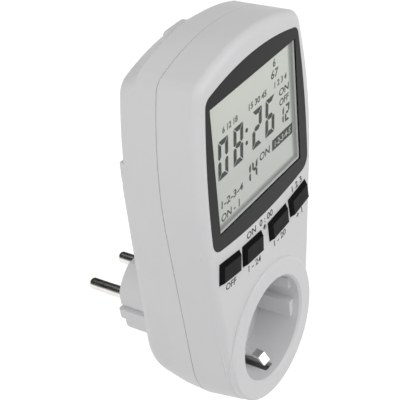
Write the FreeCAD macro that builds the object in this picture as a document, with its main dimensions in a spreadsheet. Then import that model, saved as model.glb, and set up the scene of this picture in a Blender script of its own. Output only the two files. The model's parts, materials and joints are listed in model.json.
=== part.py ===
import FreeCAD
import Part
import Sketcher
import math
import os

# Plug-in timer switch with a round earthed socket in its front and a two-pin plug at its back.
# The case frame has its origin at the centre of the socket's rim: X to the right seen from the
# front, Y into the wall, Z up. The whole part is then placed with its origin on the plug's face,
# midway between the two pins.

doc = FreeCAD.newDocument("TimerSwitch")
sheet = doc.addObject("Spreadsheet::Sheet", "sizes")
Vector = FreeCAD.Vector

DIMENSIONS = {
    # Depths from the socket's rim to the planes of the case
    "case_depth": 57.3,
    "parting_depth": 16.0,
    "crease_depth": 24.5,
    "back_depth": 31.3,
    "plate_depth": 34.0,
    "plate_top": 81.0,
    "pin_line_rise": 2.15,
    "boss_rise": 1.1,
    "wall": 2.0,
    "seam_width": 0.3,
    "seam_depth": 0.35,
    # Case outline: half widths at its widest height, foot radii and the rise of their centres
    # above the socket's, crown heights
    "widest_height": 72.0,
    "side_radius": 162.0,
    "crown_radius": 84.0,
    "corner_radius": 6.0,
    "front_half_width": 35.9,
    "parting_half_width": 36.1,
    "crease_half_width": 35.3,
    "back_half_width": 33.9,
    "front_foot": 27.5,
    "parting_foot": 30.0,
    "crease_foot": 30.1,
    "back_foot": 32.2,
    "front_foot_rise": 0.0,
    "parting_foot_rise": 0.95,
    "crease_foot_rise": 1.85,
    "back_foot_rise": 7.4,
    "front_crown": 118.3,
    "parting_crown": 117.9,
    "crease_crown": 117.9,
    "back_crown": 113.6,
    "edge_round": 3.0,
    "lug_width": 12.0,
    "lug_depth": 5.0,
    "lug_top": 115.4,
    "lug_round": 1.6,
    "plate_inset": 0.9,
    "plate_round": 1.4,
    # Sloping face
    "face_tilt": 0.3,
    "face_setback": 0.9,
    "face_wall": 2.4,
    # Socket
    "socket_radius": 19.75,
    "socket_depth": 17.5,
    "rim_radius": 27.3,
    "rim_round": 1.0,
    "contact_offset": 9.5,
    "contact_hole": 2.75,
    "rib_reach": 3.4,
    "rib_start": 3.0,
    "mouth_bevel": 0.8,
    "floor_gap": 0.3,
    "tulip_radius": 3.3,
    "tulip_bore": 2.5,
    "tulip_length": 18.0,
    "tulip_split": 0.7,
    "tulip_split_length": 13.0,
    "carrier_width": 27.0,
    "carrier_height": 12.0,
    "carrier_length": 10.0,
    "carrier_depth": 24.0,
    "earth_gap": 14.3,
    "earth_width": 4.0,
    "earth_root_rise": 2.0,
    "earth_nose_rise": 0.5,
    "earth_tip_rise": 3.4,
    "earth_root_depth": 9.5,
    "earth_nose_depth": 6.5,
    "earth_tip_depth": 4.2,
    "earth_slot_low": 14.7,
    "earth_slot_high": 23.3,
    "earth_slot_start": 3.4,
    # Plug
    "boss_radius": 17.5,
    "boss_flat": 15.6,
    "groove_reach": 14.3,
    "notch_reach": 15.6,
    "slit_reach": 14.8,
    "boss_room": 13.1,
    "boss_round": 0.8,
    "flange_reach": 2.0,
    "flange_thick": 1.6,
    "strip_width": 6.5,
    "strip_length": 20.0,
    "tail_depth": 36.5,
    "tail_height": 6.0,
    "plug_fit": 0.05,
    "pin_radius": 2.4,
    "pin_length": 19.0,
    "pin_root": 46.0,
    "pin_dome": 2.04,
    "collar_radius": 3.4,
    "collar_depth": 50.0,
    "collar_length": 3.0,
    # Display
    "display_height": 80.75,
    "window_width": 53.0,
    "window_height": 46.2,
    "window_recess": 0.1,
    "window_thick": 0.4,
    "bezel_thick": 1.0,
    "bezel_half_width": 31.5,
    "bezel_widest": 66.0,
    "bezel_side_radius": 280.0,
    "bezel_crown": 111.4,
    "bezel_crown_radius": 105.0,
    "bezel_sole": 50.0,
    "bezel_sole_radius": 180.0,
    "bezel_corner": 3.5,
    "bezel_sole_corner": 5.0,
    "lcd_width": 54.4,
    "lcd_height": 47.6,
    "lcd_thick": 2.6,
    "lcd_depth": 1.1,
    "lcd_fit": 0.2,
    "lcd_edge": 2.0,
    "holder_border": 1.2,
    "strip_height": 1.6,
    "strip_level": 20.4,
    "board_gap": 8.5,
    "board_thick": 1.6,
    # Buttons
    "cap_width": 12.5,
    "cap_height": 8.0,
    "cap_proud": 1.5,
    "cap_bevel": 1.05,
    "cap_flange": 0.9,
    "cap_stem": 2.0,
    "cap_gap": 0.2,
    "keeper_width": 1.0,
    "keeper_height": 1.2,
    "inner_button_x": 8.75,
    "inner_button_z": 41.0,
    "inner_button_turn": 3.7,
    "outer_button_x": 23.2,
    "outer_button_z": 42.5,
    "outer_button_turn": 8.0,
    "reset_x": 0.2,
    "reset_z": 44.4,
    "reset_radius": 0.9,
    "reset_gap": 0.15,
    "reset_sink": 0.5,
    "reset_collar": 1.25,
    "reset_collar_length": 2.6,
    "mat_width": 56.0,
    "mat_height": 12.0,
    "mat_thick": 1.0,
    "mat_level": 42.6,
    "mat_pad": 2.6,
    "mat_pad_thick": 1.6,
    # Boards and fixings
    "control_width": 58.0,
    "control_height": 73.8,
    "control_centre": -13.35,
    "power_width": 58.0,
    "power_height": 56.0,
    "power_centre": 77.0,
    "power_depth": 24.0,
    "screw_radius": 1.4,
    "screw_head": 2.8,
    "screw_head_height": 1.7,
    "screw_start": 10.0,
    "screw_sink": 2.2,
    "screw_x": 20.0,
    "screw_z": -12.0,
    "screw_post": 3.1,
    "screw_post_depth": 6.0,
    "screw_sleeve": 3.4,
    "small_screw": 1.0,
    "small_head": 1.9,
    "small_head_height": 1.2,
    "small_length": 6.0,
    "board_hole": 1.2,
    "pilot": 1.05,
    "control_post": 1.8,
    "power_post": 2.2,
    # Straps and plates of sheet metal
    "sheet_metal": 0.8,
    "strap_width": 4.0,
    "grip_width": 7.0,
    "grip_height": 9.0,
    "grip_depth": 45.1,
    "supply_x": -8.0,
    "supply_depth": 26.6,
    "supply_low": 11.0,
    "strap_top": 52.0,
    "switched_depth": 22.0,
    "switched_low": 3.4,
    "switched_top": 51.0,
    "neutral_low": -5.0,
    "neutral_high": 7.0,
    "neutral_arm_width": 5.0,
    "neutral_arm_low": -3.0,
    "neutral_arm_depth": 38.0,
    "earth_bar_height": 26.0,
    "earth_arm_low": -8.8,
    "earth_arm_depth": 20.7,
}

for row, (alias, value) in enumerate(DIMENSIONS.items(), start=1):
    sheet.set("A%d" % row, alias)
    sheet.set("B%d" % row, str(value))
    sheet.setAlias("B%d" % row, alias)
doc.recompute()


def size(alias):
    """A driving dimension, in millimetres or degrees, read from the sheet."""
    return float(sheet.get(alias))


CASE_ORIGIN = Vector(0, -size("case_depth"), -size("pin_line_rise"))
FACE_ORIGIN = Vector(0, size("face_setback"), size("display_height"))
CASE_PLACEMENT = FreeCAD.Placement(CASE_ORIGIN, FreeCAD.Rotation())
FACE_TURN = FreeCAD.Rotation(Vector(1, 0, 0), size("face_tilt"))
FACE_PLACEMENT = FreeCAD.Placement(CASE_ORIGIN + FACE_ORIGIN, FACE_TURN)
# Sketches on the XZ plane look along -Y, and a cylinder turned this way runs along +Y.
ALONG_Y = FreeCAD.Rotation(Vector(1, 0, 0), -90)

NODES = []


def node(label, thing, placement=None):
    """Registers a finished sub-part under the name of its file."""
    thing.Label = label
    if placement is not None:
        thing.Placement = placement
    NODES.append(thing)
    return thing


def feature(label, shape, placement):
    """A sub-part whose shape comes from Part functions."""
    thing = doc.addObject("Part::Feature", "shape_" + label)
    thing.Shape = shape
    return node(label, thing, placement)


# Outlines made of arcs


def point(x, z, depth=0.0):
    return Vector(x, depth, z)


def corner_centre(first, first_radius, second, second_radius, radius):
    """Centre of a corner arc that touches two larger arcs from the inside, on their +X +Z side."""
    gap = second - first
    reach = first_radius - radius
    other = second_radius - radius
    along = (reach ** 2 - other ** 2 + gap.Length ** 2) / (2 * gap.Length)
    across = math.sqrt(reach ** 2 - along ** 2)
    direction = gap.normalize()
    side = Vector(-direction.z, 0, direction.x)
    options = [first + direction * along + side * across, first + direction * along - side * across]
    return max(options, key=lambda centre: centre.x)


def touch(centre, corner, radius):
    """Point where an arc about a corner centre touches the larger arc about another centre."""
    return corner + (corner - centre).normalize() * radius


def arc(start, centre, radius, end):
    """The shorter arc about a centre, from one point to another."""
    middle = (start + end) * 0.5 - centre
    return Part.Arc(start, centre + middle.normalize() * radius, end).toShape()


def mirrored(spot):
    return Vector(-spot.x, spot.y, spot.z)


def closed_wire(right_arcs):
    """Outline from its right half, top to bottom, and the same half mirrored."""
    edges = []
    for start, end, centre, radius in right_arcs:
        if centre is None:
            edges.append(Part.LineSegment(start, end).toShape())
        else:
            edges.append(arc(start, centre, radius, end))
    for start, end, centre, radius in reversed(right_arcs):
        if centre is None:
            edges.append(Part.LineSegment(mirrored(end), mirrored(start)).toShape())
        else:
            edges.append(arc(mirrored(end), mirrored(centre), radius, mirrored(start)))
    return Part.Wire(edges)


def case_outline(stage, depth, inset=0.0):
    """Outline of the case at one of its planes: crown, corners, sides, straights and round foot."""
    crown = size(stage + "_crown") - inset
    half_width = size(stage + "_half_width") - inset
    foot = size(stage + "_foot") - inset
    crown_radius = size("crown_radius") - inset
    side_radius = size("side_radius") - inset
    corner_radius = size("corner_radius") - inset
    top_centre = point(0, crown - crown_radius, depth)
    side_centre = point(half_width - side_radius, size("widest_height"), depth)
    foot_centre = point(0, size(stage + "_foot_rise"), depth)
    corner = corner_centre(top_centre, crown_radius, side_centre, side_radius, corner_radius)
    top_end = touch(top_centre, corner, corner_radius)
    side_start = touch(side_centre, corner, corner_radius)
    # The straight is the outer tangent of the side arc and the foot circle.
    step = foot_centre - side_centre
    lean = math.atan2(step.z, step.x) + math.acos((side_radius - foot) / step.Length)
    normal = point(math.cos(lean), math.sin(lean))
    side_end = side_centre + normal * side_radius
    foot_start = foot_centre + normal * foot
    top = point(0, crown, depth)
    bottom = foot_centre - point(0, foot)
    return closed_wire([
        (top, top_end, top_centre, crown_radius),
        (top_end, side_start, corner, corner_radius),
        (side_start, side_end, side_centre, side_radius),
        (side_end, foot_start, None, 0),
        (foot_start, bottom, foot_centre, foot),
    ])


def bezel_outline(depth, inset=0.0):
    """Outline of the display's bezel in the face frame: four shallow arcs with round corners."""
    drop = size("display_height")
    crown = size("bezel_crown") - drop - inset
    sole = size("bezel_sole") - drop + inset
    half_width = size("bezel_half_width") - inset
    crown_radius = size("bezel_crown_radius") - inset
    sole_radius = size("bezel_sole_radius") - inset
    side_radius = size("bezel_side_radius") - inset
    corner_radius = size("bezel_corner") - inset
    sole_corner = size("bezel_sole_corner") - inset
    top_centre = point(0, crown - crown_radius, depth)
    side_centre = point(half_width - side_radius, size("bezel_widest") - drop, depth)
    sole_centre = point(0, sole + sole_radius, depth)
    upper = corner_centre(top_centre, crown_radius, side_centre, side_radius, corner_radius)
    lower = corner_centre(sole_centre, sole_radius, side_centre, side_radius, sole_corner)
    top_end = touch(top_centre, upper, corner_radius)
    side_start = touch(side_centre, upper, corner_radius)
    side_end = touch(side_centre, lower, sole_corner)
    sole_start = touch(sole_centre, lower, sole_corner)
    return closed_wire([
        (point(0, crown, depth), top_end, top_centre, crown_radius),
        (top_end, side_start, upper, corner_radius),
        (side_start, side_end, side_centre, side_radius),
        (side_end, sole_start, lower, sole_corner),
        (sole_start, point(0, sole, depth), sole_centre, sole_radius),
    ])


def slab(wire, thickness):
    """A plate with the given outline, growing into the wall."""
    return Part.Face(wire).extrude(Vector(0, thickness, 0))


def box(width, depth, height, x, y, z):
    """A block centred on x and z whose front is at y."""
    return Part.makeBox(width, depth, height, Vector(x - width / 2, y, z - height / 2))


def between(x, width, near, far, low, high):
    """A block centred on x that fills a range of depths and a range of heights."""
    return box(width, far - near, high - low, x, near, (low + high) / 2)


def rod(radius, length, x, y, z):
    """A cylinder along Y whose front is at y."""
    return Part.makeCylinder(radius, length, Vector(x, y, z), Vector(0, 1, 0))


def tilted(wire):
    """A front outline leaned to the slope of the face."""
    leaned = wire.copy()
    leaned.rotate(FACE_ORIGIN, Vector(1, 0, 0), size("face_tilt"))
    return leaned


def on_face(shape):
    """A shape from the face frame, moved to the case frame."""
    moved = shape.copy()
    moved.Placement = FreeCAD.Placement(FACE_ORIGIN, FACE_TURN).multiply(shape.Placement)
    return moved


def front_edges(solid, depth):
    """Edges of a solid whose whole length is nearer than a depth."""
    return [edge for edge in solid.Edges if edge.BoundBox.YMax < depth]


BUTTONS = {
    "button_outer_left": ("outer", -1),
    "button_inner_left": ("inner", -1),
    "button_inner_right": ("inner", 1),
    "button_outer_right": ("outer", 1),
}


def button_spot(rank, side):
    """Centre and turn of a button in the face frame."""
    x = side * size(rank + "_button_x")
    z = size(rank + "_button_z") - size("display_height")
    return x, z, -side * size(rank + "_button_turn")


def button_opening(rank, side):
    """Slot for a button cap through the face."""
    x, z, turn = button_spot(rank, side)
    width = size("cap_width") + 2 * size("cap_gap")
    height = size("cap_height") + 2 * size("cap_gap")
    slot = box(width, size("face_wall") + 2, height, 0, -1, 0)
    slot.rotate(Vector(0, 0, 0), Vector(0, 1, 0), turn)
    slot.translate(Vector(x, 0, z))
    return slot


CONTROL_POSTS = [(-27.0, 51.3), (27.0, 51.3), (-16.0, 33.2), (16.0, 33.2)]
POWER_POSTS = [(-25.0, 53.0), (25.0, 53.0), (-24.0, 100.0), (24.0, 100.0)]
RIB_LEVELS = [(-7.4, -0.6), (5.8, 10.4)]
CASE_SCREWS = [(-size("screw_x"), size("screw_z")), (size("screw_x"), size("screw_z"))]
# Side grooves of the plug: how far out the plug still reaches there, lowest and highest edge
BOSS_GROOVES = [("groove_reach", -9.5, -3.0), ("slit_reach", 1.5, 2.4), ("notch_reach", 2.4, 10.2)]


def front_cover():
    """Face, ring, side walls and socket cup, one moulding open at the back."""
    wall = size("wall")
    parting = size("parting_depth")
    setback = size("face_setback")
    face_wall = size("face_wall")
    front_wire = tilted(case_outline("front", setback))
    outer = Part.makeLoft([front_wire, case_outline("parting", parting)], True, True)
    outer = outer.makeFillet(size("edge_round"), front_edges(outer, parting / 2))
    ring = rod(size("rim_radius"), parting / 2, 0, 0, 0)
    ring = ring.makeFillet(size("rim_round"), front_edges(ring, size("wall")))
    back = case_outline("parting", parting, wall)
    inner = Part.makeLoft([tilted(case_outline("front", setback + face_wall, wall)), back], True, True)
    cup_depth = size("socket_depth") + wall
    cup = rod(size("socket_radius") + wall, cup_depth, 0, 0, 0)
    cover = outer.fuse(ring).cut(inner).fuse(cup)
    posts = []
    pilots = []
    for x, z in CONTROL_POSTS:
        local = z - size("display_height")
        length = size("board_gap") - face_wall / 2
        posts.append(on_face(rod(size("control_post"), length, x, face_wall / 2, local)))
        pilots.append(on_face(rod(size("pilot"), size("board_gap"), x, face_wall + wall / 2, local)))
    for x, z in CASE_SCREWS:
        start = size("screw_post_depth")
        posts.append(rod(size("screw_post"), cup_depth - start, x, start, z))
        pilots.append(rod(size("screw_radius") + size("plug_fit"), parting, x, start + wall, z))
    cover = cover.fuse(posts)
    recess = rod(size("socket_radius"), size("socket_depth"), 0, 0, 0)
    throat = size("socket_radius")
    bevel = size("mouth_bevel")
    mouth = Part.makeCone(throat + bevel, throat, bevel, Vector(0, 0, 0), Vector(0, 1, 0))
    cuts = [recess, mouth] + pilots
    low = size("earth_slot_low")
    high = size("earth_slot_high")
    for side in (-1, 1):
        hole_start = size("socket_depth") - wall / 2
        cuts.append(rod(size("contact_hole"), 3 * wall, side * size("contact_offset"), hole_start, 0))
        # Slot in the cup's wall and floor for each earth prong
        slot = box(size("earth_width") + 2 * size("floor_gap"), cup_depth, high - low, 0,
                   size("earth_slot_start"), side * (low + high) / 2)
        cuts.append(slot.common(rod(size("socket_radius") + 1.5 * wall, cup_depth, 0, 0, 0)))
    pocket = slab(bezel_outline(-1, -0.1), 1 + size("bezel_thick"))
    fit = 2 * size("lcd_fit")
    view = box(size("lcd_width") + fit, 4 * wall, size("lcd_height") + fit, 0, -1, 0)
    cuts.append(on_face(pocket))
    cuts.append(on_face(view))
    for rank, side in BUTTONS.values():
        cuts.append(on_face(button_opening(rank, side)))
    reset_z = size("reset_z") - size("display_height")
    reset_hole = size("reset_radius") + size("reset_gap")
    cuts.append(on_face(rod(reset_hole, 2 * face_wall, size("reset_x"), -1, reset_z)))
    cover = cover.cut(cuts)
    return cover.fuse(guide_ribs()).removeSplitter()


def guide_ribs():
    """Two ribs on each side of the recess that guide the plug's grooves."""
    reach = size("socket_radius") - size("rib_reach")
    start = size("rib_start")
    shell = rod(size("socket_radius") + size("wall") / 4, size("socket_depth"), 0, 0, 0)
    return [
        between(side * 1.5 * reach, reach, start, size("socket_depth"), low, high).common(shell)
        for side in (-1, 1)
        for low, high in RIB_LEVELS
    ]


def rear_cover():
    """Back of the case with the raised lower plate, the opening for the plug and the top lug."""
    wall = size("wall")
    parting = size("parting_depth")
    crease = size("crease_depth")
    back = size("back_depth")
    plate = size("plate_depth")
    stages = [("parting", parting), ("crease", crease), ("back", back)]
    outer = Part.makeLoft([case_outline(stage, depth) for stage, depth in stages], True, True)
    hollow = [
        case_outline("parting", parting, wall),
        case_outline("crease", crease, wall),
        case_outline("back", back - wall, wall),
    ]
    inner = Part.makeLoft(hollow, True, True)
    below = box(100, 100, 200, 0, 0, size("plate_top") - 100)
    step = [case_outline("back", back), case_outline("back", plate, size("plate_inset"))]
    raised = Part.makeLoft(step, True, True).common(below)
    rim = [edge for edge in raised.Edges if edge.BoundBox.YMin > plate - 0.01]
    raised = raised.makeFillet(size("plate_round"), rim)
    base = 2 * size("back_crown") - size("lug_top")
    lug = between(0, size("lug_width"), back - size("lug_depth"), back, base, size("lug_top"))
    lug = lug.makeFillet(size("lug_round"), [edge for edge in lug.Edges if edge.BoundBox.ZMax > base + 1])
    seam = slab(case_outline("parting", parting, -0.5), size("seam_width"))
    seam = seam.cut(slab(case_outline("parting", parting, size("seam_depth")), size("seam_width")))
    cover = outer.fuse([raised, lug]).cut([inner, seam])
    cuts = [boss_section(size("plug_fit"), back - 2 * wall, plate + wall)]
    for x, z in CASE_SCREWS:
        cuts.append(rod(size("screw_radius") + size("floor_gap"), plate, x, size("screw_start"), z))
        cuts.append(rod(size("screw_head") + size("floor_gap"), plate, x, plate - size("screw_sink"), z))
    sleeves = []
    start = size("socket_depth") + wall + size("floor_gap")
    for x, z in CASE_SCREWS:
        sleeves.append(rod(size("screw_sleeve"), plate - start, x, start, z))
    board_back = size("power_depth") + size("board_thick")
    for x, z in POWER_POSTS:
        sleeves.append(rod(size("power_post"), back - wall / 2 - board_back, x, board_back, z))
        cuts.append(rod(size("pilot"), size("small_length") - size("floor_gap"), x, board_back - wall / 2, z))
    return cover.fuse(sleeves).cut(cuts).removeSplitter()


def boss_section(offset, front, back):
    """The plug's round body with its two flats, grown by an offset, between two depths."""
    rise = size("boss_rise")
    radius = size("boss_radius") + offset
    flat = size("boss_flat") + offset
    flats = between(0, 3 * radius, front, back, rise - flat, rise + flat)
    return rod(radius, back - front, 0, front, rise).common(flats)


def plug_boss():
    """Round body of the plug: a cup with a flange behind the back wall and holes for the pins."""
    wall = size("wall")
    rise = size("boss_rise")
    front = size("back_depth") - wall
    end = size("case_depth")
    flange_front = front - size("flange_thick")
    body = boss_section(0.0, front, end)
    body = body.makeFillet(size("boss_round"), [edge for edge in body.Edges if edge.BoundBox.YMin > end - 0.1])
    flange = rod(size("boss_radius") + size("flange_reach"), size("flange_thick"), 0, flange_front, rise)
    # The room inside is narrower where the side grooves run.
    room_start = size("plate_depth")
    room = box(2 * size("boss_room"), end, 2 * end, 0, 0, rise)
    cuts = [
        boss_section(-wall, flange_front - 1, room_start),
        boss_section(-wall, room_start, end - wall).common(room),
    ]
    groove_start = room_start + wall / 2
    metal = size("sheet_metal")
    tail_near = size("tail_depth") - metal / 4
    for side in (-1, 1):
        for reach, low, high in BOSS_GROOVES:
            inset = side * (size(reach) + wall)
            cuts.append(between(inset, 2 * wall, groove_start, end, low, high))
        # Slot for the tail of an earth strip, and the hole for a pin
        level = rise + side * (size("boss_flat") - wall)
        cuts.append(box(size("strap_width") + metal / 2, 1.5 * metal, 4 * wall, 0, tail_near, level))
        hole = size("pin_radius") + size("plug_fit")
        cuts.append(rod(hole, 4 * wall, side * size("contact_offset"), end - 2.5 * wall, size("pin_line_rise")))
    return body.fuse(flange).cut(cuts).removeSplitter()


def centred_rectangle(sketch, width, height):
    """Closed rectangle about the sketch's origin, sized by the sheet."""
    half_w = 5.0
    half_h = 4.0
    corners = [(-half_w, -half_h), (half_w, -half_h), (half_w, half_h), (-half_w, half_h)]
    for index in range(4):
        start = Vector(*corners[index], 0)
        end = Vector(*corners[(index + 1) % 4], 0)
        sketch.addGeometry(Part.LineSegment(start, end), False)
    for index in range(4):
        sketch.addConstraint(Sketcher.Constraint("Coincident", index, 2, (index + 1) % 4, 1))
    sketch.addConstraint(Sketcher.Constraint("Horizontal", 0))
    sketch.addConstraint(Sketcher.Constraint("Horizontal", 2))
    sketch.addConstraint(Sketcher.Constraint("Vertical", 1))
    sketch.addConstraint(Sketcher.Constraint("Vertical", 3))
    sketch.addConstraint(Sketcher.Constraint("Symmetric", 0, 1, 2, 1, -1, 1))
    wide = sketch.addConstraint(Sketcher.Constraint("DistanceX", 0, 1, 0, 2, 2 * half_w))
    tall = sketch.addConstraint(Sketcher.Constraint("DistanceY", 1, 1, 1, 2, 2 * half_h))
    sketch.setExpression("Constraints[%d]" % wide, width)
    sketch.setExpression("Constraints[%d]" % tall, height)


def plane_of(body, role):
    for plane in body.Origin.OriginFeatures:
        if plane.Role == role:
            return plane
    raise ValueError(role)


def rectangle_sketch(body, name, width, height, depth):
    """Centred rectangle on the body's XZ plane, moved back to a depth."""
    sketch = body.newObject("Sketcher::SketchObject", name)
    sketch.AttachmentSupport = [(plane_of(body, "XZ_Plane"), "")]
    sketch.MapMode = "FlatFace"
    centred_rectangle(sketch, width, height)
    sketch.setExpression("AttachmentOffset.Base.z", "-(%s)" % depth)
    return sketch


def padded_block(label, width, height, thickness, spot, base=CASE_PLACEMENT, depth="0"):
    """A moulded or stamped block as a body: one rectangle, one pad towards the wall."""
    body = doc.addObject("PartDesign::Body", "body_" + label)
    sketch = rectangle_sketch(body, "outline_" + label, width, height, depth)
    pad = body.newObject("PartDesign::Pad", "pad_" + label)
    pad.Profile = sketch
    pad.Reversed = True
    pad.setExpression("Length", thickness)
    body.Tip = pad
    placement = base.multiply(FreeCAD.Placement(Vector(*spot), FreeCAD.Rotation()))
    return node(label, body, placement)


def upright_can(label, radius, length, spot):
    """A round component that stands on a board along the depth of the case."""
    can = doc.addObject("Part::Cylinder", "can_" + label)
    can.setExpression("Radius", radius)
    can.setExpression("Height", length)
    return node(label, can, CASE_PLACEMENT.multiply(FreeCAD.Placement(Vector(*spot), ALONG_Y)))


def button(label, rank, side):
    """Cap with bevelled sides, a keeper flange behind the face and a stem towards its switch."""
    body = doc.addObject("PartDesign::Body", "body_" + label)
    waist = rectangle_sketch(body, "waist_" + label, "sizes.cap_width", "sizes.cap_height", "0")
    crown = body.newObject("PartDesign::Pad", "crown_" + label)
    crown.Profile = waist
    crown.setExpression("Length", "sizes.cap_proud")
    bevel = math.degrees(math.atan(size("cap_bevel") / size("cap_proud")))
    crown.TaperAngle = -bevel
    skirt_outline = rectangle_sketch(body, "skirt_outline_" + label, "sizes.cap_width", "sizes.cap_height", "0")
    skirt = body.newObject("PartDesign::Pad", "skirt_" + label)
    skirt.Profile = skirt_outline
    skirt.Reversed = True
    skirt.setExpression("Length", "sizes.face_wall + sizes.cap_gap + sizes.cap_flange")
    flange_outline = rectangle_sketch(
        body, "flange_outline_" + label, "sizes.cap_width + sizes.keeper_width",
        "sizes.cap_height + sizes.keeper_height", "sizes.face_wall + sizes.cap_gap")
    flange = body.newObject("PartDesign::Pad", "flange_" + label)
    flange.Profile = flange_outline
    flange.Reversed = True
    flange.setExpression("Length", "sizes.cap_flange")
    stem_outline = rectangle_sketch(
        body, "stem_outline_" + label, "sizes.cap_width / 3", "sizes.cap_height / 2",
        "sizes.face_wall + sizes.cap_gap + sizes.cap_flange")
    stem = body.newObject("PartDesign::Pad", "stem_" + label)
    stem.Profile = stem_outline
    stem.Reversed = True
    stem.setExpression("Length", "sizes.cap_stem")
    body.Tip = stem
    x, z, turn = button_spot(rank, side)
    spot = FreeCAD.Placement(Vector(x, 0, z), FreeCAD.Rotation(Vector(0, 1, 0), turn))
    node(label, body, FACE_PLACEMENT.multiply(spot))


def display_bezel():
    """Dark frame round the window, sunk flush into the face."""
    plate = slab(bezel_outline(0), size("bezel_thick"))
    return plate.cut(box(size("window_width"), 3 * size("bezel_thick"), size("window_height"), 0, -1, 0))


def lcd_holder():
    """Light-guide frame that holds the display glass against the cover."""
    front = size("face_wall") + size("cap_gap") / 2
    back = size("board_gap")
    seat = size("lcd_depth") + size("lcd_thick") + size("plug_fit")
    width = size("lcd_width")
    height = size("lcd_height")
    border = size("holder_border")
    fit = size("lcd_fit")
    edge = size("lcd_edge")
    outer = box(width + 2 * border, back - front, height + 2 * border, 0, front, 0)
    well = box(width + 2 * fit, seat - front, height + 2 * fit, 0, front, 0)
    window = box(width - 2 * edge, back - front, height - 2 * edge, 0, front, 0)
    return outer.cut([well, window])


def keypad_mat():
    """Rubber mat with a plain switch pad under every button."""
    back = size("board_gap") - size("plug_fit")
    thick = size("mat_thick")
    level = size("mat_level") - size("display_height")
    mat = box(size("mat_width"), thick, size("mat_height"), 0, back - thick, level)
    pads = []
    for rank, side in BUTTONS.values():
        x, z, _turn = button_spot(rank, side)
        pads.append(rod(size("mat_pad"), size("mat_pad_thick"), x, back - size("mat_pad_thick"), z))
    return mat.fuse(pads)


def reset_button():
    """Small recessed plunger that is pressed with a pen tip."""
    x = size("reset_x")
    z = size("reset_z") - size("display_height")
    back = size("face_wall") + size("cap_gap")
    sink = size("reset_sink")
    plunger = rod(size("reset_radius"), back - sink, x, sink, z)
    collar = rod(size("reset_collar"), size("reset_collar_length"), x, back, z)
    return plunger.fuse(collar)


def tulip_contact(side):
    """Split tube that grips a plug pin behind the socket floor."""
    start = size("socket_depth") + size("wall") + size("floor_gap")
    x = side * size("contact_offset")
    radius = size("tulip_radius")
    length = size("tulip_length")
    outer = rod(radius, length, x, start, 0)
    bore = rod(size("tulip_bore"), length - size("sheet_metal"), x, start, 0)
    split = box(size("tulip_split"), size("tulip_split_length"), 3 * radius, x, start, 0)
    return outer.cut([bore, split])


def contact_carrier():
    """Insulating block that holds both socket contacts."""
    depth = size("carrier_depth")
    length = size("carrier_length")
    block = box(size("carrier_width"), length, size("carrier_height"), 0, depth, 0)
    hole = size("tulip_radius") + size("lcd_fit") / 2
    holes = [rod(hole, length + 2, side * size("contact_offset"), depth - 1, 0) for side in (-1, 1)]
    return block.cut(holes)


def earth_clip():
    """Spring strap behind the socket floor with a bowed prong at the top and the bottom."""
    metal = size("sheet_metal")
    width = size("earth_width")
    floor_back = size("socket_depth") + size("wall") + size("floor_gap")
    gap = size("earth_gap")
    shoulder = gap + size("earth_root_rise")
    nose = gap + size("earth_nose_rise")
    tip = gap + size("earth_tip_rise")
    root_depth = size("earth_root_depth")
    nose_depth = size("earth_nose_depth")
    tip_depth = size("earth_tip_depth")
    profile = [
        (floor_back, 0.0), (floor_back, shoulder), (root_depth, gap), (nose_depth, nose),
        (tip_depth, tip), (tip_depth + metal, tip + metal / 4), (nose_depth + 0.75 * metal, nose + metal),
        (root_depth, gap + metal), (floor_back - 1.25 * metal, shoulder + metal),
        (floor_back + metal, shoulder + metal), (floor_back + metal, 0.0),
    ]
    prongs = []
    for sign in (-1, 1):
        points = [Vector(-width / 2, depth, sign * level) for depth, level in profile]
        face = Part.Face(Part.makePolygon(points + points[:1]))
        prongs.append(face.extrude(Vector(width, 0, 0)))
    return prongs[0].fuse(prongs[1]).removeSplitter()


def plug_pin(side):
    """Solid round pin with a domed tip and a collar inside the boss."""
    root = size("pin_root")
    end = size("case_depth") + size("pin_length")
    radius = size("pin_radius")
    x = side * size("contact_offset")
    z = size("pin_line_rise")
    shank = rod(radius, end - root, x, root, z)
    tip = [edge for edge in shank.Edges if edge.BoundBox.YMin > end - radius and edge.Closed]
    shank = shank.makeFillet(size("pin_dome"), tip)
    collar = rod(size("collar_radius"), size("collar_length"), x, size("collar_depth"), z)
    return shank.fuse(collar).removeSplitter()


def earth_strip(sign):
    """Side contact on a flat of the plug boss, with a tail through the wall of the boss."""
    metal = size("sheet_metal")
    depth = size("tail_depth")
    height = size("tail_height")
    level = size("boss_rise") + sign * (size("boss_flat") + metal / 2)
    strip = box(size("strip_width"), size("strip_length"), metal, 0, depth, level)
    tail = box(size("strap_width"), metal, height, 0, depth, level - sign * height / 2)
    return strip.fuse(tail).removeSplitter()


def earth_link():
    """Strap inside the boss that joins both side contacts to the socket's earth clip."""
    metal = size("sheet_metal")
    width = size("strap_width")
    bar_depth = size("tail_depth") + metal
    low = size("earth_arm_low")
    bar = box(width, metal, size("earth_bar_height"), 0, bar_depth, size("boss_rise"))
    arm = between(0, width, size("earth_arm_depth"), bar_depth, low, low + metal)
    return bar.fuse(arm).removeSplitter()


def power_link():
    """Strap from the live pin up to the power board, stepping out of the boss."""
    metal = size("sheet_metal")
    x = size("supply_x")
    width = size("strap_width")
    back = size("grip_depth")
    riser = size("supply_depth")
    low = size("supply_low")
    top = size("strap_top")
    middle = size("pin_line_rise")
    board_back = size("power_depth") + size("board_thick")
    parts = [
        between(x, width, back, back + metal, middle, low + metal),
        between(x, width, riser, back + metal, low, low + metal),
        between(x, width, riser, riser + metal, low, top),
        between(x, width, board_back, riser, top - metal, top),
    ]
    grip = box(size("grip_width"), metal, size("grip_height"), -size("contact_offset"), back, middle)
    return grip.fuse(parts).removeSplitter()


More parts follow.
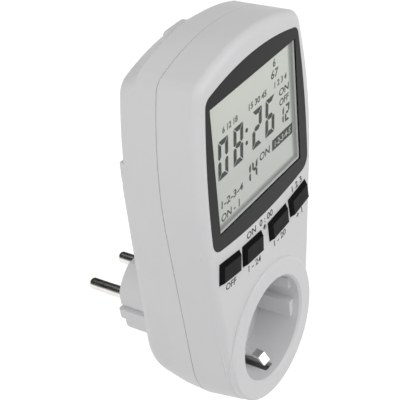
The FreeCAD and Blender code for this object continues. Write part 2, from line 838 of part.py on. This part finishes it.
def switched_link():
    """Strap from the live socket contact up to the power board."""
    metal = size("sheet_metal")
    x = -size("contact_offset")
    width = size("strap_width")
    near = size("switched_depth")
    top = size("switched_top")
    riser = between(x, width, near, near + metal, size("switched_low"), top)
    tab = between(x, width, near + metal, size("power_depth"), top - metal, top)
    return riser.fuse(tab).removeSplitter()


def neutral_link():
    """Plate that joins the neutral pin to the neutral contact."""
    metal = size("sheet_metal")
    x = size("contact_offset")
    back = size("grip_depth")
    low = size("neutral_arm_low")
    plate = between(x, size("grip_width"), back, back + metal, size("neutral_low"), size("neutral_high"))
    arm = between(x, size("neutral_arm_width"), size("neutral_arm_depth"), back, low, low + metal)
    return plate.fuse(arm).removeSplitter()


def screw(x, z, front, length, shank, head, head_height):
    """Pan-head screw along Y with its head at the back and a cross recess."""
    body = rod(shank, length, x, front, z)
    cap = rod(head, head_height, x, front + length, z)
    long_arm = 1.5 * head
    short_arm = 0.25 * head
    top = front + length + head_height
    bottom = front + length + 0.45 * head_height
    cross = between(x, long_arm, bottom, top, z - short_arm / 2, z + short_arm / 2)
    other = between(x, short_arm, bottom, top, z - long_arm / 2, z + long_arm / 2)
    return body.fuse(cap).cut([cross, other])


def case_screws():
    """Two screws from the back into the front cover's posts."""
    start = size("screw_start")
    length = size("plate_depth") - size("screw_sink") - start
    return Part.Compound([
        screw(x, z, start, length, size("screw_radius"), size("screw_head"), size("screw_head_height"))
        for x, z in CASE_SCREWS
    ])


def board_screws():
    """Four small screws that hold the control board to its posts."""
    seat = size("board_gap") + size("board_thick")
    length = size("small_length")
    return Part.Compound([
        screw(x, z - size("display_height"), seat - length, length,
              size("small_screw"), size("small_head"), size("small_head_height"))
        for x, z in CONTROL_POSTS
    ])


def power_board():
    """Board at the back that carries the relay and the mains parts."""
    depth = size("power_depth")
    thick = size("board_thick")
    plate = box(size("power_width"), thick, size("power_height"), 0, depth, size("power_centre"))
    return plate.cut([rod(size("board_hole"), 3 * thick, x, depth - thick, z) for x, z in POWER_POSTS])


def power_screws():
    """Four small screws that hold the power board, with their heads towards the front."""
    seat = size("power_depth")
    head_height = size("small_head_height")
    return Part.Compound([
        rod(size("small_head"), head_height, x, seat - head_height, z)
        .fuse(rod(size("small_screw"), size("small_length"), x, seat, z))
        for x, z in POWER_POSTS
    ])


def control_board():
    """Board behind the display and the buttons, with its screw holes."""
    depth = size("board_gap")
    thick = size("board_thick")
    plate = box(size("control_width"), thick, size("control_height"), 0, depth, size("control_centre"))
    holes = [
        rod(size("board_hole"), 3 * thick, x, depth - thick, z - size("display_height"))
        for x, z in CONTROL_POSTS
    ]
    return plate.cut(holes)


# Electrical parts in the case frame: width, height and depth, then the middle of the front,
# and for round ones the radius and depth
COMPONENTS = [
    ("relay", "20", "15", "11.3", (14, 12.6, 72)),
    ("mains_capacitor", "17", "8", "10.9", (-14, 13.0, 72)),
    ("board_connector", "15", "2.5", "11.8", (0, 12.1, 57)),
]
CANS = [
    ("filter_capacitor", "4", "10.8", (-20, 13.1, 88)),
    ("backup_battery", "7.7", "5.8", (14, 11.6, 92)),
]

feature("front_cover", front_cover(), CASE_PLACEMENT)
feature("rear_cover", rear_cover(), CASE_PLACEMENT)
feature("plug_boss", plug_boss(), CASE_PLACEMENT)
feature("display_bezel", display_bezel(), FACE_PLACEMENT)
padded_block("display_window", "sizes.window_width - 0.2", "sizes.window_height - 0.2",
             "sizes.window_thick", (0, 0, 0), FACE_PLACEMENT, "sizes.window_recess")
padded_block("lcd_panel", "sizes.lcd_width", "sizes.lcd_height", "sizes.lcd_thick",
             (0, 0, 0), FACE_PLACEMENT, "sizes.lcd_depth")
feature("lcd_holder", lcd_holder(), FACE_PLACEMENT)
for label, sign in (("contact_strip_upper", 1), ("contact_strip_lower", -1)):
    padded_block(label, "sizes.lcd_width - 3 * sizes.lcd_edge", "sizes.strip_height",
                 "sizes.board_gap - sizes.lcd_depth - sizes.lcd_thick",
                 (0, 0, sign * size("strip_level")), FACE_PLACEMENT, "sizes.lcd_depth + sizes.lcd_thick")
feature("control_board", control_board(), FACE_PLACEMENT)
feature("keypad_mat", keypad_mat(), FACE_PLACEMENT)
for label, (rank, side) in BUTTONS.items():
    button(label, rank, side)
feature("reset_button", reset_button(), FACE_PLACEMENT)
feature("contact_carrier", contact_carrier(), CASE_PLACEMENT)
feature("earth_clip", earth_clip(), CASE_PLACEMENT)
for label, side in (("live_contact", -1), ("neutral_contact", 1)):
    feature(label, tulip_contact(side), CASE_PLACEMENT)
for label, side in (("live_pin", -1), ("neutral_pin", 1)):
    feature(label, plug_pin(side), CASE_PLACEMENT)
feature("live_supply_link", power_link(), CASE_PLACEMENT)
feature("live_switched_link", switched_link(), CASE_PLACEMENT)
feature("neutral_link", neutral_link(), CASE_PLACEMENT)
feature("plug_earth_upper", earth_strip(1), CASE_PLACEMENT)
feature("plug_earth_lower", earth_strip(-1), CASE_PLACEMENT)
feature("earth_link", earth_link(), CASE_PLACEMENT)
feature("power_board", power_board(), CASE_PLACEMENT)
for label, width, height, depth, spot in COMPONENTS:
    padded_block(label, width, height, depth, spot)
for label, radius, length, spot in CANS:
    upright_can(label, radius, length, spot)
feature("power_board_screws", power_screws(), CASE_PLACEMENT)
feature("case_screws", case_screws(), CASE_PLACEMENT)
feature("board_screws", board_screws(), FACE_PLACEMENT)

doc.recompute()
os.makedirs("parts", exist_ok=True)
for thing in doc.Objects:
    if "Invalid" in thing.State or "Error" in thing.State:
        raise RuntimeError("%s did not compute: %s" % (thing.Label, thing.State))
for thing in NODES:
    if thing.Shape.isNull() or not thing.Shape.isValid():
        raise RuntimeError("%s has no valid shape" % thing.Label)
    print("%-22s %3d solid(s) %9.1f mm3" % (thing.Label, len(thing.Shape.Solids), thing.Shape.Volume))
    thing.Shape.exportStep("parts/%s.step" % thing.Label)
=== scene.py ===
import json
import math

import bmesh
import bpy
from mathutils import Matrix, Vector


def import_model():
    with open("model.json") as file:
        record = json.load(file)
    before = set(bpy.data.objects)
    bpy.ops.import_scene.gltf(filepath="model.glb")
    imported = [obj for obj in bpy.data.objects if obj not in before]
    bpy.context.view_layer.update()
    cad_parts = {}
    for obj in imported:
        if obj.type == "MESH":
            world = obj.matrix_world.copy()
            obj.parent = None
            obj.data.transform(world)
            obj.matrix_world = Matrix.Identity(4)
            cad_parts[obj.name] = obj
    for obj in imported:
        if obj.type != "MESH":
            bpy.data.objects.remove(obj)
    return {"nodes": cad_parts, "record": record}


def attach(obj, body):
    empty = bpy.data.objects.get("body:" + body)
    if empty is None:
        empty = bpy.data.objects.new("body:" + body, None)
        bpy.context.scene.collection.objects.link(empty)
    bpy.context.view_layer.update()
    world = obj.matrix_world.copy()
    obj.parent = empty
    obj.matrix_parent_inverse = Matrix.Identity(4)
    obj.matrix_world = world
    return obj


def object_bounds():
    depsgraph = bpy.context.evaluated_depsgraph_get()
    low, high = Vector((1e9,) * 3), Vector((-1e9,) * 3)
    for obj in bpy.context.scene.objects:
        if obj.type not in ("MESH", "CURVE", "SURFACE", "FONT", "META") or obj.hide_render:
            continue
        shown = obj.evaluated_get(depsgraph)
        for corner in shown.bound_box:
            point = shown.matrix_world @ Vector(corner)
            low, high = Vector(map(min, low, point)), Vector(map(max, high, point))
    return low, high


# Plug-in timer switch, dressed for the camera. The origin is on the plug's face between the pins,
# +Y into the wall, +Z up. Blender works in metres, and MM turns millimetres into them.

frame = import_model()
cad_low, cad_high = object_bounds()
NODES = frame["nodes"]
MM = 0.001

# Places and sizes that the CAD model shares with this script, in millimetres
CASE_DEPTH = 57.3
PIN_LINE_RISE = 2.15
FACE_SETBACK = 0.9
FACE_TILT = math.radians(0.3)
DISPLAY_HEIGHT = 80.75
LCD_DEPTH = 1.1
WINDOW_WIDTH = 53.0
WINDOW_HEIGHT = 46.2

# Rounding of the button caps, in millimetres, and the angle from which an edge is rounded
CAP_ROUNDING = 0.7
CAP_ROUNDING_STEPS = 4
CAP_EDGE_ANGLE = math.radians(40)

# Waves per metre of the unevenness in each kind of surface, and the depth of its grain in metres
PLASTIC_CLOUDS = 60.0
PLASTIC_GLOSS = 240.0
PLASTIC_GRAIN = 2600.0
METAL_CLOUDS = 300.0
METAL_GLOSS = 900.0
METAL_GRAIN = 2400.0
INK_COVER = 500.0
GRAIN_DEPTH = 0.00002


# Materials


class Shader:
    """A material with one Principled shader and short calls for its nodes."""

    def __init__(self, name, colour, roughness, **sockets):
        self.material = bpy.data.materials.new(name)
        self.material.use_nodes = True
        self.tree = self.material.node_tree
        self.surface = self.tree.nodes["Principled BSDF"]
        self.surface.inputs["Base Color"].default_value = (*colour, 1.0)
        self.surface.inputs["Roughness"].default_value = roughness
        for socket, value in sockets.items():
            self.surface.inputs[socket].default_value = value
        self.coordinates = self.tree.nodes.new("ShaderNodeTexCoord")

    def link(self, output, target):
        self.tree.links.new(output, target)

    def noise(self, waves, detail=3.0, stretch=(1, 1, 1)):
        """Noise in object space."""
        mapping = self.tree.nodes.new("ShaderNodeMapping")
        mapping.inputs["Scale"].default_value = stretch
        self.link(self.coordinates.outputs["Object"], mapping.inputs["Vector"])
        texture = self.tree.nodes.new("ShaderNodeTexNoise")
        texture.inputs["Scale"].default_value = waves
        texture.inputs["Detail"].default_value = detail
        self.link(mapping.outputs["Vector"], texture.inputs["Vector"])
        return texture.outputs["Fac"]

    def spread(self, value, low, high, low_in=0.3, high_in=0.7):
        """Maps a value to a range."""
        ranged = self.tree.nodes.new("ShaderNodeMapRange")
        ranged.inputs["From Min"].default_value = low_in
        ranged.inputs["From Max"].default_value = high_in
        ranged.inputs["To Min"].default_value = low
        ranged.inputs["To Max"].default_value = high
        self.link(value, ranged.inputs["Value"])
        return ranged.outputs["Result"]

    def blend(self, factor, first, second):
        """Colour between two, each a colour or a socket."""
        mix = self.tree.nodes.new("ShaderNodeMix")
        mix.data_type = "RGBA"
        self.link(factor, mix.inputs["Factor"])
        # The colour sockets of this node share their names with others, so they go by number
        for target, colour in ((mix.inputs[6], first), (mix.inputs[7], second)):
            if isinstance(colour, tuple):
                target.default_value = (*colour, 1.0)
            else:
                self.link(colour, target)
        return mix.outputs[2]

    def axis(self, name):
        """One coordinate of the surface point, in metres."""
        split = self.tree.nodes.new("ShaderNodeSeparateXYZ")
        self.link(self.coordinates.outputs["Object"], split.inputs[0])
        return split.outputs[name]

    def bump(self, height, strength):
        made = self.tree.nodes.new("ShaderNodeBump")
        made.inputs["Strength"].default_value = strength
        made.inputs["Distance"].default_value = GRAIN_DEPTH
        self.link(height, made.inputs["Height"])
        self.link(made.outputs["Normal"], self.surface.inputs["Normal"])

    def colour(self, socket):
        self.link(socket, self.surface.inputs["Base Color"])

    def roughness(self, socket):
        self.link(socket, self.surface.inputs["Roughness"])


def moulded(name, colour, roughness, contrast=0.03, grain=0.25, **sockets):
    """Moulded plastic: slight cloudiness, a fine spark-eroded grain and uneven gloss."""
    shader = Shader(name, colour, roughness, **sockets)
    darker = tuple(value * (1 - contrast) for value in colour)
    clouds = shader.spread(shader.noise(PLASTIC_CLOUDS), 0, 1)
    shader.colour(shader.blend(clouds, darker, colour))
    gloss = shader.noise(PLASTIC_GLOSS)
    shader.roughness(shader.spread(gloss, roughness - 0.04, roughness + 0.05))
    shader.bump(shader.noise(PLASTIC_GRAIN, 2.0), grain)
    return shader.material


def metal(name, colour, roughness, stretch=(1, 1, 1)):
    """Plated metal with fine drawing marks."""
    shader = Shader(name, colour, roughness, Metallic=1.0)
    dull = tuple(value * 0.86 for value in colour)
    clouds = shader.spread(shader.noise(METAL_CLOUDS), 0, 1)
    shader.colour(shader.blend(clouds, dull, colour))
    gloss = shader.noise(METAL_GLOSS, 4.0, stretch)
    shader.roughness(shader.spread(gloss, roughness - 0.05, roughness + 0.09))
    shader.bump(shader.noise(METAL_GRAIN, 3.0, stretch), 0.2)
    return shader.material


def ink(name, colour, roughness):
    """Ink: one dark tone with slightly uneven cover."""
    shader = Shader(name, colour, roughness)
    lighter = tuple(min(1.0, value * 1.35 + 0.003) for value in colour)
    shader.colour(shader.blend(shader.spread(shader.noise(INK_COVER), 0, 1), colour, lighter))
    return shader.material


def window_material():
    """Clear pane: see-through, with a weak reflection on its outer side that grows at low angles."""
    material = bpy.data.materials.new("window pane")
    material.use_nodes = True
    tree = material.node_tree
    tree.nodes.remove(tree.nodes["Principled BSDF"])
    clear = tree.nodes.new("ShaderNodeBsdfTransparent")
    clear.inputs["Color"].default_value = (0.97, 0.98, 0.97, 1)
    gloss = tree.nodes.new("ShaderNodeBsdfGlossy")
    gloss.inputs["Roughness"].default_value = 0.06
    weight = tree.nodes.new("ShaderNodeLayerWeight")
    weight.inputs["Blend"].default_value = 0.5
    growth = tree.nodes.new("ShaderNodeMath")
    growth.operation = "POWER"
    growth.inputs[1].default_value = 6.0
    sides = tree.nodes.new("ShaderNodeNewGeometry")
    outside = tree.nodes.new("ShaderNodeMapRange")
    outside.inputs["To Min"].default_value = 0.15
    outside.inputs["To Max"].default_value = 0.0
    share = tree.nodes.new("ShaderNodeMath")
    share.operation = "MULTIPLY"
    mix = tree.nodes.new("ShaderNodeMixShader")
    surface = tree.nodes["Material Output"].inputs["Surface"]
    for output, target in (
        (weight.outputs["Facing"], growth.inputs[0]),
        (sides.outputs["Backfacing"], outside.inputs["Value"]),
        (growth.outputs[0], share.inputs[0]),
        (outside.outputs["Result"], share.inputs[1]),
        (share.outputs[0], mix.inputs["Fac"]),
        (clear.outputs["BSDF"], mix.inputs[1]),
        (gloss.outputs["BSDF"], mix.inputs[2]),
        (mix.outputs["Shader"], surface),
    ):
        tree.links.new(output, target)
    return material


def lcd_material():
    """Reflective display glass: grey-green, with painted shading that makes it lighter and greener
    towards the top, and painted shade in a dark band at its right and lower edges.
    """
    shader = Shader("display glass", (0.62, 0.64, 0.58), 0.28)
    height = shader.axis("Z")
    across = shader.axis("X")
    low = (DISPLAY_HEIGHT - PIN_LINE_RISE - WINDOW_HEIGHT / 2) * MM
    high = (DISPLAY_HEIGHT - PIN_LINE_RISE + WINDOW_HEIGHT / 2) * MM
    # Painted shading: the glass is lighter and greener towards the top
    painted_light_rise = shader.spread(height, 0, 1, low + 0.3 * (high - low), high)
    painted_shading_field = shader.blend(painted_light_rise, (0.72, 0.71, 0.70), (0.84, 0.84, 0.79))
    # Painted shade: a dark band along the right edge, where the cover's rim shades the glass
    right = shader.spread(across, 0, 1, 22.6 * MM, 24.0 * MM)
    right_painted_shade = shader.blend(right, painted_shading_field, (0.36, 0.36, 0.37))
    # Painted shade: a dark band along the lower edge, where the cover's rim shades the glass
    bottom_painted_shade = shader.spread(height, 1, 0, low + 1.8 * MM, low + 3.2 * MM)
    shader.colour(shader.blend(bottom_painted_shade, right_painted_shade, (0.34, 0.34, 0.345)))
    return shader.material


# Finish of each material slot of the record
MATERIALS = {
    "case": moulded("case plastic", (0.79, 0.79, 0.80), 0.36, 0.02, 0.12, IOR=1.42),
    "bezel": moulded("bezel print", (0.008, 0.008, 0.009), 0.22, 0.2, 0.1, IOR=1.22),
    "holder": moulded("holder plastic", (0.75, 0.75, 0.74), 0.5),
    "strip": moulded("contact rubber", (0.2, 0.2, 0.21), 0.7),
    "circuit_board": moulded("board laminate", (0.03, 0.16, 0.07), 0.4, 0.2),
    "mat": moulded("mat rubber", (0.18, 0.18, 0.19), 0.7),
    "caps": moulded("button plastic", (0.005, 0.005, 0.0055), 0.42, 0.2, 0.4, IOR=1.15),
    "insulator": moulded("insulator plastic", (0.03, 0.03, 0.03), 0.5),
    "spring_metal": metal("earth spring", (0.88, 0.87, 0.85), 0.12),
    "contact_brass": metal("contact brass", (0.72, 0.55, 0.26), 0.25),
    "pin_metal": metal("pin plating", (0.82, 0.81, 0.79), 0.12, (6, 0.4, 6)),
    "relay_case": moulded("relay case", (0.03, 0.06, 0.2), 0.4),
    "capacitor_case": moulded("capacitor case", (0.5, 0.34, 0.04), 0.4),
    "can_metal": metal("component can", (0.7, 0.7, 0.72), 0.3),
    "screw_metal": metal("screw plating", (0.62, 0.61, 0.58), 0.28),
    "window": window_material(),
    "lcd": lcd_material(),
}
INK = ink("printed ink", (0.006, 0.006, 0.006), 0.45)
SEGMENT = ink("display segment", (0.003, 0.003, 0.003), 0.35)
DISPLAY_WORD = ink("display word", (0.010, 0.011, 0.010), 0.3)
WHITE_EDGE = moulded("white edge", (0.9, 0.9, 0.9), 0.4)


def round_edges(thing):
    """Rounds the moulded edges of a button cap."""
    rounding = thing.modifiers.new("moulded edge", "BEVEL")
    rounding.width = CAP_ROUNDING * MM
    rounding.segments = CAP_ROUNDING_STEPS
    rounding.use_clamp_overlap = False
    rounding.limit_method = "ANGLE"
    rounding.angle_limit = CAP_EDGE_ANGLE


for entry in frame["record"]["subparts"]:
    thing = NODES[entry["node"]]
    material = MATERIALS[entry["material_slot"]]
    if not thing.material_slots:
        thing.data.materials.append(material)
    for held in thing.material_slots:
        held.material = material
    if entry["material_slot"] == "caps":
        round_edges(thing)


# Flat marks on the face and on the display. Their places are in the face frame, in millimetres.

FACE_MATRIX = (
    Matrix.Translation(Vector((0, FACE_SETBACK - CASE_DEPTH, DISPLAY_HEIGHT - PIN_LINE_RISE)) * MM)
    @ Matrix.Rotation(FACE_TILT, 4, "X")
)

# Marks on the display start just in front of the glass
MARK_DEPTH = LCD_DEPTH - 0.01
MARK_THICK = 0.04
LEAN = 0.12


def face_point(x, z, depth=0.0):
    """A point in the face frame: x and height as on the case, depth behind the face, in mm."""
    return FACE_MATRIX @ (Vector((x, depth, z - DISPLAY_HEIGHT)) * MM)


def add_piece(name, mesh, material, body="housing"):
    """Puts a mesh on a body as a piece of its own."""
    piece = bpy.data.objects.new(name, mesh)
    bpy.context.scene.collection.objects.link(piece)
    mesh.materials.clear()
    mesh.materials.append(material)
    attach(piece, body)


def plates(name, polygons, material, depth, thickness):
    """Thin plates in the face frame, one per polygon of (x, z) points, as one piece."""
    built = bmesh.new()
    for outline in polygons:
        front = [built.verts.new(face_point(x, z, depth - thickness)) for x, z in outline]
        back = [built.verts.new(face_point(x, z, depth)) for x, z in outline]
        built.faces.new(front)
        built.faces.new(reversed(back))
        for index in range(len(outline)):
            following = (index + 1) % len(outline)
            built.faces.new((front[following], front[index], back[index], back[following]))
    bmesh.ops.recalc_face_normals(built, faces=built.faces)
    mesh = bpy.data.meshes.new(name)
    built.to_mesh(mesh)
    built.free()
    add_piece(name, mesh, material)


SEGMENT_SETS = {
    "0": "abcdef",
    "1": "bc",
    "2": "abged",
    "4": "fgbc",
    "6": "afgedc",
    "8": "abcdefg",
}

# Foot, width, height, thickness of the bars and cut at their corners
TIME_DIGITS = {"foot": 76.3, "width": 5.9, "height": 13.4, "weight": 1.8, "gap": 0.22}
DAY_DIGITS = {"foot": 75.8, "width": 2.9, "height": 6.2, "weight": 0.85, "gap": 0.12}
COUNT_DIGITS = {"foot": 65.5, "width": 3.3, "height": 6.8, "weight": 1.05, "gap": 0.14}


def segment_shapes(right, top, weight, gap):
    """The seven bars of a digit with slanted ends. The origin is at its lower left corner."""
    middle = top / 2
    half = weight / 2
    above = middle + gap
    below = middle - gap
    inner_left = gap + weight
    inner_right = right - gap - weight
    return {
        "a": [(gap, top), (right - gap, top), (inner_right, top - weight), (inner_left, top - weight)],
        "b": [(right, top - gap), (right - weight, top - gap - weight), (right - weight, above + half),
              (right - half, above), (right, above + half * 0.6)],
        "c": [(right, gap), (right - weight, inner_left), (right - weight, below - half),
              (right - half, below), (right, below - half * 0.6)],
        "d": [(gap, 0), (right - gap, 0), (inner_right, weight), (inner_left, weight)],
        "e": [(0, gap), (weight, inner_left), (weight, below - half),
              (half, below), (0, below - half * 0.6)],
        "f": [(0, top - gap), (weight, top - gap - weight), (weight, above + half),
              (half, above), (0, above + half * 0.6)],
        "g": [(gap + half, middle), (inner_left, middle + half), (inner_right, middle + half),
              (right - gap - half, middle), (inner_right, middle - half), (inner_left, middle - half)],
    }


def digit_polygons(character, x, foot, width, height, weight, gap):
    """Bars of one digit with its lower left corner at x, leaned to the right."""
    shapes = segment_shapes(width, height, weight, gap)
    return [
        [(x + px + LEAN * pz, foot + pz) for px, pz in shapes[name]]
        for name in SEGMENT_SETS[character]
    ]


def disc(x, z, radius, corners=20):
    angles = [2 * math.pi * step / corners for step in range(corners)]
    return [(x + radius * math.cos(angle), z + radius * math.sin(angle)) for angle in angles]


def display_digits():
    """The time across the middle of the display and the two small numbers beside and below it."""
    polygons = []
    for character, x in (("0", -23.6), ("8", -14.4), ("2", -2.6), ("6", 5.8)):
        polygons += digit_polygons(character, x, **TIME_DIGITS)
    polygons += [disc(-5.2, 85.4, 0.8), disc(-5.7, 80.9, 0.75)]
    plates("display_time", polygons, SEGMENT, MARK_DEPTH, MARK_THICK)
    polygons = []
    for character, x in (("1", 15.2), ("2", 19.0)):
        polygons += digit_polygons(character, x, **DAY_DIGITS)
    for character, x in (("1", -8.2), ("4", -4.0)):
        polygons += digit_polygons(character, x, **COUNT_DIGITS)
    plates("display_numbers", polygons, SEGMENT, MARK_DEPTH, MARK_THICK)


def lettering(name, words, x, z, height, material, depth, weight, stretch,
              lean=0.0, turn=0.0):
    """Generic characters as a flat mesh in the face frame, centred on x with their foot at z."""
    curve = bpy.data.curves.new(name, "FONT")
    curve.body = words
    curve.align_x = "CENTER"
    # Capitals of the built-in font are 0.729 of its size
    curve.size = height / 0.729
    curve.shear = lean
    curve.offset = weight
    curve.extrude = 0.01
    curve.resolution_u = 3
    source = bpy.data.objects.new(name + "_source", curve)
    mesh = bpy.data.meshes.new_from_object(source)
    mesh.name = name
    bpy.data.objects.remove(source)
    spin = Matrix.Rotation(math.radians(turn), 2)
    for vertex in mesh.vertices:
        px, pz = spin @ Vector((vertex.co.x * stretch, vertex.co.y))
        vertex.co = face_point(x + px, z + pz, depth - vertex.co.z)
    add_piece(name, mesh, material)


def display_words():
    """Small marks round the time: plain numbers, ON and OFF."""
    rows = (
        ("display_day", "6", 14.0, 99.3, 2.7, 1.0),
        ("display_days", "67", 13.8, 95.4, 2.9, 1.2),
        ("display_hour_range", "6 12 18", -14.6, 91.5, 2.2, 1.0),
        ("display_minute_range", "15 30 45", 2.3, 91.5, 2.2, 1.12),
        ("display_week_range", "1 2 3 4", 17.2, 91.5, 2.2, 1.0),
        ("display_on_upper", "ON", 19.3, 87.0, 2.5, 1.25),
        ("display_on_lower", "OFF", 19.0, 83.3, 2.5, 1.05),
        ("display_state", "ON", 4.7, 69.8, 2.8, 1.15),
        ("display_program_range", "1-2-3-4", -17.0, 65.7, 2.6, 1.35),
        ("display_auto", "ON - 1", -18.0, 60.7, 2.7, 1.1),
    )
    for name, words, x, z, height, stretch in rows:
        lettering(name, words, x, z, height, DISPLAY_WORD, MARK_DEPTH, 0.08, stretch, LEAN)
    plate = [(9.6, 69.2), (23.4, 69.2), (23.8, 73.2), (10.0, 73.2)]
    plates("display_plate", [plate], SEGMENT, MARK_DEPTH, MARK_THICK)
    on_plate = MARK_DEPTH - MARK_THICK - 0.01
    lettering("display_plate_number", "1-2-3-4-5", 16.6, 70.1, 2.2, MATERIALS["lcd"], on_plate,
              0.02, 1.0, LEAN)


def legends():
    """Printed legends above and below the buttons, turned with the buttons: ON, OFF, numbers."""
    rows = (
        ("legend_on", "ON", -8.4, 46.3, 2.6, 0.0),
        ("legend_zero", "0 : 00", 1.4, 46.3, 2.6, 0.0),
        ("legend_numbers", "1 2 3", 23.0, 47.5, 2.6, 8.0),
        ("legend_off", "OFF", -23.3, 34.7, 2.5, -8.0),
        ("legend_less", "1 - 24", -8.2, 33.0, 2.5, -3.7),
        ("legend_more", "1 - 20", 9.4, 33.0, 2.5, 3.7),
        ("legend_up", "+ 1", 24.3, 34.7, 2.5, 8.0),
    )
    for name, words, x, z, height, turn in rows:
        lettering(name, words, x, z, height, INK, -0.005, 0.075, 1.1, turn=turn)


def window_lining():
    """Pale edge of the cover round the display, between the pane and the glass."""
    room, width = 0.02, 0.45
    outer_x, outer_z = WINDOW_WIDTH / 2 - room, WINDOW_HEIGHT / 2 - room
    inner_x, inner_z = outer_x - width, outer_z - width
    outer = [(-outer_x, -outer_z), (outer_x, -outer_z), (outer_x, outer_z), (-outer_x, outer_z)]
    inner = [(-inner_x, -inner_z), (inner_x, -inner_z), (inner_x, inner_z), (-inner_x, inner_z)]
    bars = []
    for side in range(4):
        following = (side + 1) % 4
        bar = [outer[side], outer[following], inner[following], inner[side]]
        bars.append([(x, z + DISPLAY_HEIGHT) for x, z in bar])
    plates("window_lining", bars, WHITE_EDGE, LCD_DEPTH - room, 0.5)


display_digits()
display_words()
legends()
window_lining()


# Camera, lamps and studio

CAMERA_PLACE = Vector((-290.35, -241.64, 279.10)) * MM
CAMERA_RIGHT = Vector((0.5396127, -0.8373417, -0.0876181))
CAMERA_DOWN = Vector((-0.4988803, -0.2341825, -0.8344321))
CAMERA_AHEAD = Vector((0.6781862, 0.4939812, -0.5441011))

FLOOR_REACH = 6.0
FLOOR_GAP = 0.03
FLOOR_COLOUR = (0.6, 0.6, 0.6, 1)
WHITE = (1, 1, 1, 1)
# White that the floor adds where it is seen, so that with its lit colour it comes out white
FLOOR_GLOW = 0.72
WORLD_LIGHT = 0.45
WORLD_SEEN = 1.0


def camera():
    """The photograph's view: a long lens at the left of the front, above it, slightly rolled."""
    data = bpy.data.cameras.new("photo camera")
    data.lens = 109.46
    data.sensor_width = 36.0
    data.sensor_fit = "HORIZONTAL"
    data.clip_start = 0.01
    thing = bpy.data.objects.new("photo camera", data)
    turn = Matrix((CAMERA_RIGHT, -CAMERA_DOWN, -CAMERA_AHEAD)).transposed()
    thing.matrix_world = Matrix.Translation(CAMERA_PLACE) @ turn.to_4x4()
    bpy.context.scene.collection.objects.link(thing)
    bpy.context.scene.camera = thing


def area_light(name, place, target, width, power):
    """A square lamp that points at a target."""
    data = bpy.data.lights.new(name, "AREA")
    data.shape = "SQUARE"
    data.size = width
    data.energy = power
    thing = bpy.data.objects.new(name, data)
    thing.location = place
    aim = Vector(target) - Vector(place)
    thing.rotation_euler = aim.to_track_quat("-Z", "Y").to_euler()
    bpy.context.scene.collection.objects.link(thing)


def sheet(name, corners, material):
    """One flat sheet of the studio."""
    mesh = bpy.data.meshes.new(name)
    mesh.from_pydata(corners, [], [(0, 1, 2, 3)])
    thing = bpy.data.objects.new(name, mesh)
    bpy.context.scene.collection.objects.link(thing)
    mesh.materials.append(material)
    return thing


def floor_material():
    """Pale paint that adds white where the camera, a mirror or glass sees it."""
    material = bpy.data.materials.new("floor paint")
    material.use_nodes = True
    tree = material.node_tree
    tree.nodes.remove(tree.nodes["Principled BSDF"])
    lit = tree.nodes.new("ShaderNodeBsdfDiffuse")
    lit.inputs["Color"].default_value = FLOOR_COLOUR
    white = tree.nodes.new("ShaderNodeEmission")
    white.inputs["Color"].default_value = WHITE
    path = tree.nodes.new("ShaderNodeLightPath")
    seen = path.outputs["Is Camera Ray"]
    for ray in ("Is Glossy Ray", "Is Transmission Ray"):
        either = tree.nodes.new("ShaderNodeMath")
        either.operation = "MAXIMUM"
        tree.links.new(seen, either.inputs[0])
        tree.links.new(path.outputs[ray], either.inputs[1])
        seen = either.outputs[0]
    glow = tree.nodes.new("ShaderNodeMath")
    glow.operation = "MULTIPLY"
    glow.inputs[1].default_value = FLOOR_GLOW
    tree.links.new(seen, glow.inputs[0])
    tree.links.new(glow.outputs[0], white.inputs["Strength"])
    both = tree.nodes.new("ShaderNodeAddShader")
    tree.links.new(lit.outputs["BSDF"], both.inputs[0])
    tree.links.new(white.outputs["Emission"], both.inputs[1])
    tree.links.new(both.outputs["Shader"], tree.nodes["Material Output"].inputs["Surface"])
    return material


def floor():
    """Plain pale floor below the part, white where it is seen except in the part's shadow."""
    level = cad_low[2] - FLOOR_GAP
    corners = [(-FLOOR_REACH, -FLOOR_REACH, level), (FLOOR_REACH, -FLOOR_REACH, level),
               (FLOOR_REACH, FLOOR_REACH, level), (-FLOOR_REACH, FLOOR_REACH, level)]
    sheet("floor", corners, floor_material())


def dark_card():
    """Dark card behind the part that only mirror rays see, so that bare metal shows a dark side."""
    paint = Shader("card paint", (0.012, 0.012, 0.012), 0.9)
    corners = [(-3.0, 2.0, 0.7), (3.0, 2.0, 0.7), (3.0, 2.0, 3.2), (-3.0, 2.0, 3.2)]
    thing = sheet("dark_card", corners, paint.material)
    thing.visible_camera = False
    thing.visible_diffuse = False
    thing.visible_transmission = False
    thing.visible_shadow = False


def world():
    """Even white surroundings: full white where the camera sees them, dimmer as light."""
    made = bpy.data.worlds.new("studio")
    bpy.context.scene.world = made
    made.use_nodes = True
    tree = made.node_tree
    background = tree.nodes["Background"]
    background.inputs["Color"].default_value = WHITE
    path = tree.nodes.new("ShaderNodeLightPath")
    strength = tree.nodes.new("ShaderNodeMapRange")
    strength.inputs["To Min"].default_value = WORLD_LIGHT
    strength.inputs["To Max"].default_value = WORLD_SEEN
    tree.links.new(path.outputs["Is Camera Ray"], strength.inputs["Value"])
    tree.links.new(strength.outputs["Result"], background.inputs["Strength"])


camera()
world()
floor()
dark_card()
area_light("key", (0.4, -1.15, 0.75), (0, -0.03, 0.04), 1.2, 7.5)
area_light("fill", (-0.8, 0.0, 0.4), (0, -0.03, 0.06), 0.8, 2.6)

bpy.context.scene.view_settings.view_transform = "Standard"
